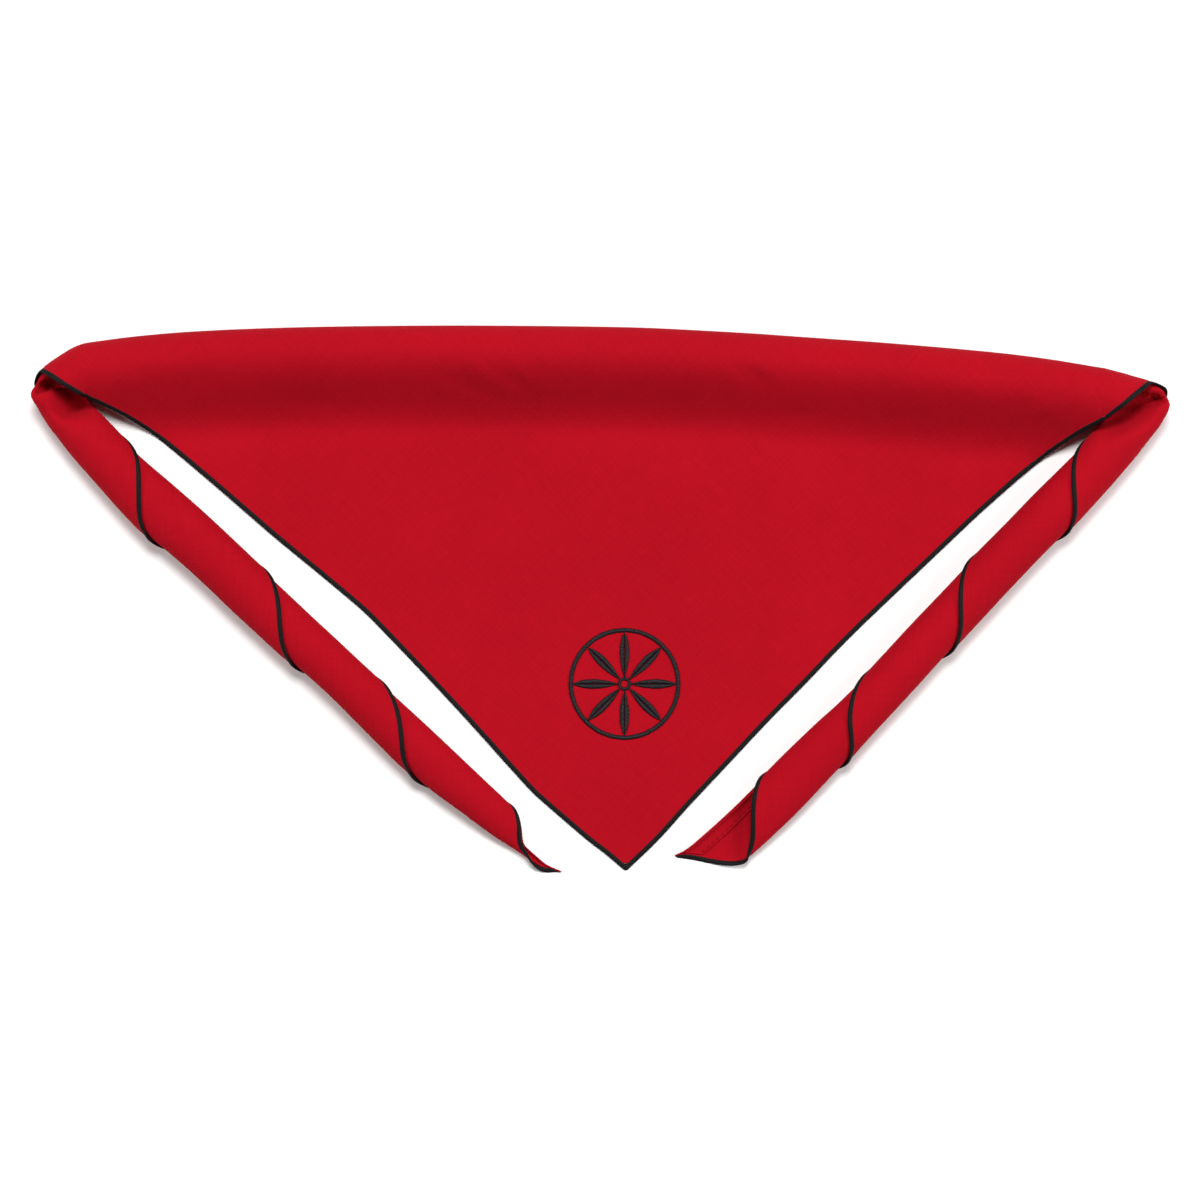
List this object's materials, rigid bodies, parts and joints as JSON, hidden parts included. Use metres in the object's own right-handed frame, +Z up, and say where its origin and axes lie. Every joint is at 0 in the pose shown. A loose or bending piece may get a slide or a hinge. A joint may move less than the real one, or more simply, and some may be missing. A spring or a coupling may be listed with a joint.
{
  "type": "neckerchief",
  "caption": "Triangular cloth neckerchief, rolled along its long edge and laid flat, with dark overlocked edges, two rolled tails and an embroidered rosette on its back panel.",
  "frame": {"origin": "on the table, under the middle of the whole neckerchief's outline", "axes": "+X along the neck roll towards the right tail's corner, +Y from the panel's apex to the neck roll, +Z up from the table"},
  "size_m": [0.5242, 0.252, 0.0222],
  "materials": {
    "cloth": "plain-woven poly-cotton, matt with a faint sheen",
    "edging_thread": "overlocked polyester thread, slightly glossy ridges",
    "embroidery_thread": "satin-stitched rayon thread, soft sheen along the stitches"
  },
  "bodies": {
    "root": {"neck_roll": "cloth", "back_panel": "cloth", "left_tail": "cloth", "right_tail": "cloth", "long_edge_hem": "cloth", "left_edging": "edging_thread", "right_edging": "edging_thread", "embroidered_rosette": "embroidery_thread"}
  },
  "joints": []
}
